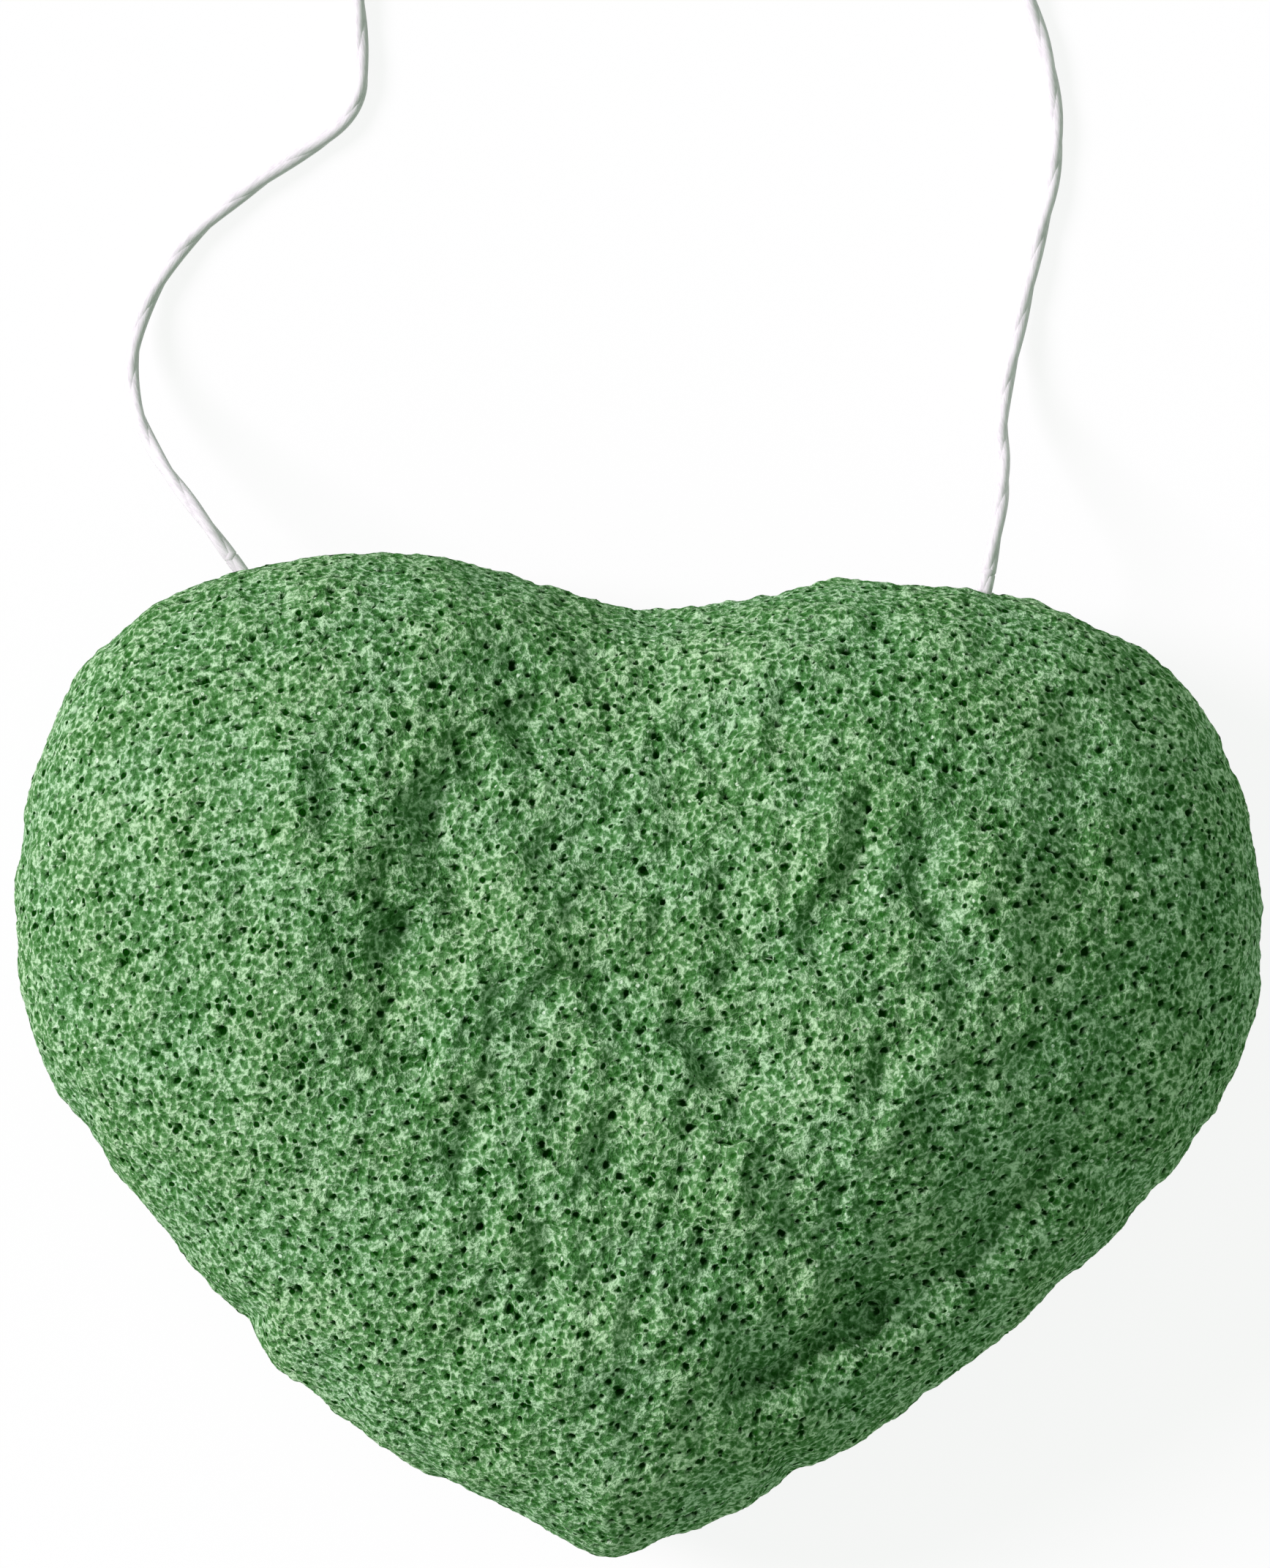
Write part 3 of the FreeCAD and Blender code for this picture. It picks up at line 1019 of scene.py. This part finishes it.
@dataclass
class CottonString:
    """A stretch of two-ply cotton string along a given route."""

    name: str
    route: tuple[Place, ...]
    replaced: tuple[str, ...]
    body: Body
    cotton: CottonFinish
    swings: bool = False
    diameter: float = 0.001
    plies: int = 2
    pitch: float = 0.0102
    ply_share: float = 0.80
    ball_share: float = 0.46
    ball_divisions: int = 4
    sides: int = 12
    ring_step: float = 0.00014
    order: int = 3
    resolution: int = 14

    def centreline(self) -> list[Vector]:
        """Points read from the smooth spline that has the route as its control points."""
        curve = bpy.data.curves.new(f"{self.name} route", "CURVE")
        curve.dimensions = "3D"
        spline = curve.splines.new("NURBS")
        spline.points.add(len(self.route) - 1)
        for point, place in zip(spline.points, self.route):
            point.co = (*place, 1.0)
        spline.order_u = self.order
        spline.use_endpoint_u = True
        spline.resolution_u = self.resolution
        guide = linked(f"{self.name} route", curve)
        line = bpy.data.meshes.new_from_object(guide.evaluated_get(bpy.context.evaluated_depsgraph_get()))
        points = [vertex.co.copy() for vertex in line.vertices]
        bpy.data.objects.remove(guide)
        return points

    def twist_tree(self) -> bpy.types.NodeTree:
        """The tree that lays the plies round a line, with a ball on the end that swings.

        Returns:
            The tree, with a named input for each size.
        """
        bench, given = new_tree(f"{self.name} twist", self.twist_inputs())
        line = bench.add("GeometryNodeMeshToCurve", None, {"Mesh": given.out("Geometry")})
        even = {"Curve": line, "Length": given.out("Ring step")}
        line = bench.add("GeometryNodeResampleCurve", {"mode": "LENGTH"}, even)
        shared = {"Geometry": line, "Amount": given.out("Plies")}
        copies = bench.add("GeometryNodeDuplicateElements", {"domain": "SPLINE"}, shared)
        run = bench.add("GeometryNodeSplineParameter").out("Length")
        turn = (copies.out("Duplicate Index") / given.out("Plies") + run / given.out("Pitch")) * TURN
        normal = bench.add("GeometryNodeInputNormal")
        side = bench.shift("CROSS_PRODUCT", bench.add("GeometryNodeInputTangent"), normal)
        across = bench.stretch(normal, turn.math("COSINE", turn, 0.0))
        away = bench.shift("ADD", across, bench.stretch(side, turn.math("SINE", turn, 0.0)))
        aside = {"Geometry": copies, "Offset": bench.stretch(away, given.out("Ply offset"))}
        laid = bench.keep(bench.add("GeometryNodeSetPosition", None, aside), "along", run)
        round_ply = {"Resolution": given.out("Sides"), "Radius": given.out("Ply radius")}
        ring = bench.add("GeometryNodeCurvePrimitiveCircle", {"mode": "RADIUS"}, round_ply)
        ring = bench.keep(ring, "around", bench.add("GeometryNodeSplineParameter"))
        swept = {"Curve": laid, "Profile Curve": ring, "Fill Caps": True}
        tube = bench.add("GeometryNodeCurveToMesh", None, swept)
        joined = bench.add("GeometryNodeJoinGeometry", None, {"Geometry": tube})
        if self.swings:
            even_ball = {"Radius": given.out("Ball radius"), "Subdivisions": given.out("Ball divisions")}
            ball = bench.add("GeometryNodeMeshIcoSphere", None, even_ball)
            ball = bench.add("GeometryNodeTransform", None, {"Geometry": ball, "Translation": self.route[0]})
            bench.tree.links.new(ball.socket, joined.socket.node.inputs["Geometry"])
        bench.dress(joined, self.cotton.material())
        return bench.tree

    def twist_inputs(self) -> dict[str, float | int]:
        """The tree's named inputs with their values."""
        radius = self.diameter * self.ply_share / 2
        return {
            "Ring step": self.ring_step,
            "Plies": self.plies,
            "Pitch": self.pitch,
            "Ply radius": radius,
            "Ply offset": self.diameter / 2 - radius,
            "Ball radius": self.diameter * self.ball_share,
            "Ball divisions": self.ball_divisions,
            "Sides": self.sides,
        }

    def build(self) -> tuple[bpy.types.Object, list[Vector]]:
        """Builds the stretch as one piece and sets it on its body.

        Returns:
            The piece and the line that it follows.
        """
        path = self.centreline()
        line = bpy.data.meshes.new(f"{self.name} line")
        line.from_pydata(path, [(i, i + 1) for i in range(len(path) - 1)], [])
        piece = baked_piece(self.name, line, self.twist_tree(), self.twist_inputs())
        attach(piece, self.body.value)
        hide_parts(*self.replaced)
        return piece, path


@dataclass
class HangingLoop:
    """The cotton loop: one string through the lobes, closed by a reef knot."""

    cotton: CottonFinish
    bed: float = 0.0005
    over: float = 0.00162
    left_pivot: Place = (-0.0291264, 0.0329105, 0.0095)
    right_pivot: Place = (0.0225228, 0.0343514, 0.0095)
    left_lead: Place = (-0.0313920, 0.0357082, 0.0095)
    right_lead: Place = (0.0230238, 0.0379164, 0.0095)
    knot_centre: Plan = (0.0016, 0.0952)
    thread_reach: float = 0.024
    swing_gap: float = 0.00015
    left_length: float = 0.1124
    right_length: float = 0.1020

    def left_route(self) -> tuple[Place, ...]:
        """Control points of the left free end, from the sponge through the knot to its tail."""
        bed, over = self.bed, self.over
        free = (
            self.left_pivot, self.left_lead, (-0.0350, 0.0399, 0.0062), (-0.0370, 0.0444, 0.0026),
            (-0.0366, 0.0494, 0.0007), (-0.0336, 0.0549, bed), (-0.0284, 0.0594, bed),
            (-0.0219, 0.0639, bed), (-0.0222, 0.0696, bed), (-0.0231, 0.0756, bed),
            (-0.0215, 0.0824, bed), (-0.0174, 0.0883, bed), (-0.0118, 0.0924, bed),
        )
        knot = (
            (-0.0080, 0.0, bed), (-0.0054, 0.00066, bed), (-0.0034, 0.00062, 0.00055),
            (-0.0019, 0.00068, 0.0012), (-0.0007, 0.00095, over), (0.0007, 0.00155, over),
            (0.0020, 0.00195, 0.0012), (0.0032, 0.00185, 0.00055), (0.0046, 0.0010, bed),
            (0.0046, -0.0010, bed), (0.0032, -0.00185, 0.00055), (0.0020, -0.00195, 0.0012),
            (0.0007, -0.00155, over), (-0.0007, -0.00095, over), (-0.0019, -0.00068, 0.0012),
            (-0.0034, -0.00062, 0.00055), (-0.0054, -0.0008, bed), (-0.0080, -0.0018, bed),
            (-0.0106, -0.0036, bed),
        )
        return free + self._about_knot(knot)

    def right_route(self) -> tuple[Place, ...]:
        """Control points of the right free end, from the sponge through the knot to its tail."""
        bed, over = self.bed, self.over
        free = (
            self.right_pivot, self.right_lead, (0.0234, 0.0410, 0.0064), (0.0230, 0.0454, 0.0027),
            (0.0239, 0.0504, 0.0007), (0.0250, 0.0568, bed), (0.0263, 0.0634, bed),
            (0.0255, 0.0696, bed), (0.0231, 0.0758, bed), (0.0204, 0.0820, bed), (0.0170, 0.0876, bed),
            (0.0136, 0.0920, bed),
        )
        knot = (
            (0.0086, -0.0004, bed), (0.0068, 0.0003, 0.0008), (0.0053, 0.00068, over),
            (0.0037, 0.00062, over), (0.0020, 0.00068, 0.00095), (0.0008, 0.00095, bed),
            (-0.0007, 0.00155, bed), (-0.0020, 0.00195, 0.00095), (-0.0031, 0.0019, over),
            (-0.0046, 0.0010, over), (-0.0046, -0.0010, over), (-0.0031, -0.0019, over),
            (-0.0020, -0.00195, 0.00095), (-0.0007, -0.00155, bed), (0.0008, -0.00095, bed),
            (0.0020, -0.00068, 0.00095), (0.0037, -0.00062, over), (0.0053, -0.00078, over),
            (0.0068, -0.0013, 0.0008), (0.0088, -0.0024, bed), (0.0110, -0.0043, bed),
        )
        return free + self._about_knot(knot)

    def _about_knot(self, points: tuple[Place, ...]) -> tuple[Place, ...]:
        """The same points placed about the knot's middle."""
        return tuple((x + self.knot_centre[0], y + self.knot_centre[1], z) for x, y, z in points)

    def thread_route(self) -> tuple[Place, ...]:
        """Control points of the stretch inside the sponge, which ends in the balls of the free ends.

        Returns:
            The points, from the left exit to the right one.
        """
        left, right = Vector(self.left_pivot), Vector(self.right_pivot)
        from_left = (left - Vector(self.left_lead)).normalized()
        from_right = (right - Vector(self.right_lead)).normalized()
        points = (
            left + from_left * self.swing_gap,
            left + from_left * self.thread_reach,
            right + from_right * self.thread_reach,
            right + from_right * self.swing_gap,
        )
        return tuple(tuple(point) for point in points)

    def build(self) -> list[bpy.types.Object]:
        """Builds the loop's three stretches.

        Returns:
            The pieces.
        """
        threaded, _ = CottonString(
            "threaded_string", self.thread_route(), ("cord_threaded",), Body.SPONGE, self.cotton
        ).build()
        pieces = [threaded]
        ends = (
            ("left", self.left_route(), self.left_pivot, self.left_length),
            ("right", self.right_route(), self.right_pivot, self.right_length),
        )
        for side, route, pivot, length in ends:
            nodes = (f"cord_{side}", f"knot_strand_{side}")
            string = CottonString(f"{side}_string", route, nodes, Body.LOOP, self.cotton, swings=True)
            piece, path = string.build()
            pieces.append(piece)
        return pieces


@dataclass
class Studio:
    """White floor, a faintly green fill, a faintly rosy key from the left and a camera straight above."""

    floor: FloorFinish
    frame_height: float = 0.10683
    camera_height: float = 0.70
    aim: Plan = (-0.00084, 0.01878)
    roll: float = 2.8
    sensor_mm: float = 36.0
    floor_size: float = 8.0
    floor_drop: float = 0.0002
    sky: float = 0.40
    sky_tint: Colour = (0.84, 1.08, 0.85)
    key: float = 0.64
    key_tint: Colour = (1.12, 0.955, 1.13)
    key_height: float = 34.0
    key_side: float = 166.0
    key_softness: float = 22.0

    def build(self) -> None:
        """Builds the floor, the light and the camera."""
        self._floor()
        self._light()
        self._camera()

    def _floor(self) -> None:
        """A wide white floor just under the part."""
        half = self.floor_size / 2
        corners = [(-half, -half), (half, -half), (half, half), (-half, half)]
        mesh = bpy.data.meshes.new("floor")
        mesh.from_pydata([(x, y, -self.floor_drop) for x, y in corners], [], [(0, 1, 2, 3)])
        mesh.materials.append(self.floor.material())
        linked("floor", mesh)

    def _light(self) -> None:
        """An even pale sky and one soft key lamp."""
        world = bpy.data.worlds.new("sky")
        bpy.context.scene.world = world
        world.use_nodes = True
        bench = Bench(world.node_tree)
        ray = bench.add("ShaderNodeLightPath").out("Is Camera Ray")
        strength = ray + (1 - ray) * self.sky
        tint = bench.blend(ray, solid(self.sky_tint), solid(WHITE))
        sky = bench.add("ShaderNodeBackground", None, {"Color": tint, "Strength": strength})
        bench.add("ShaderNodeOutputWorld", None, {"Surface": sky})
        lamp = bpy.data.lights.new("key", "SUN")
        tilt = math.radians(self.key_height)
        lamp.energy = math.pi * self.key / math.sin(tilt)
        lamp.angle = math.radians(self.key_softness)
        lamp.color = self.key_tint
        side = math.radians(self.key_side)
        flat = math.cos(tilt)
        towards = Vector((math.cos(side) * flat, math.sin(side) * flat, math.sin(tilt)))
        linked("key", lamp).rotation_euler = towards.to_track_quat("Z", "Y").to_euler()

    def _camera(self) -> None:
        """A long lens straight above, turned as the sponge lies in the frame."""
        data = bpy.data.cameras.new("camera")
        data.sensor_width = self.sensor_mm
        girth = frame["joints"][0]["pos_m"][2]
        data.lens = self.sensor_mm * self.camera_height / self.frame_height
        camera = linked("camera", data)
        camera.location = (*self.aim, girth + self.camera_height)
        camera.rotation_euler = (0, 0, math.radians(self.roll))
        bpy.context.scene.camera = camera


def main() -> None:
    """Builds the sponge, its loop and the studio, and reports each piece."""
    logging.basicConfig(level=logging.INFO, format="%(message)s")
    scene = bpy.context.scene
    scene.view_settings.view_transform = "Standard"
    Studio(FloorFinish()).build()
    pieces = HangingLoop(CottonFinish()).build()
    pieces.append(SpongeBody(FoamFinish()).build())
    for piece in pieces:
        LOG.info("%s: %d faces", piece.name, len(piece.data.polygons))


if __name__ == "__main__":
    main()
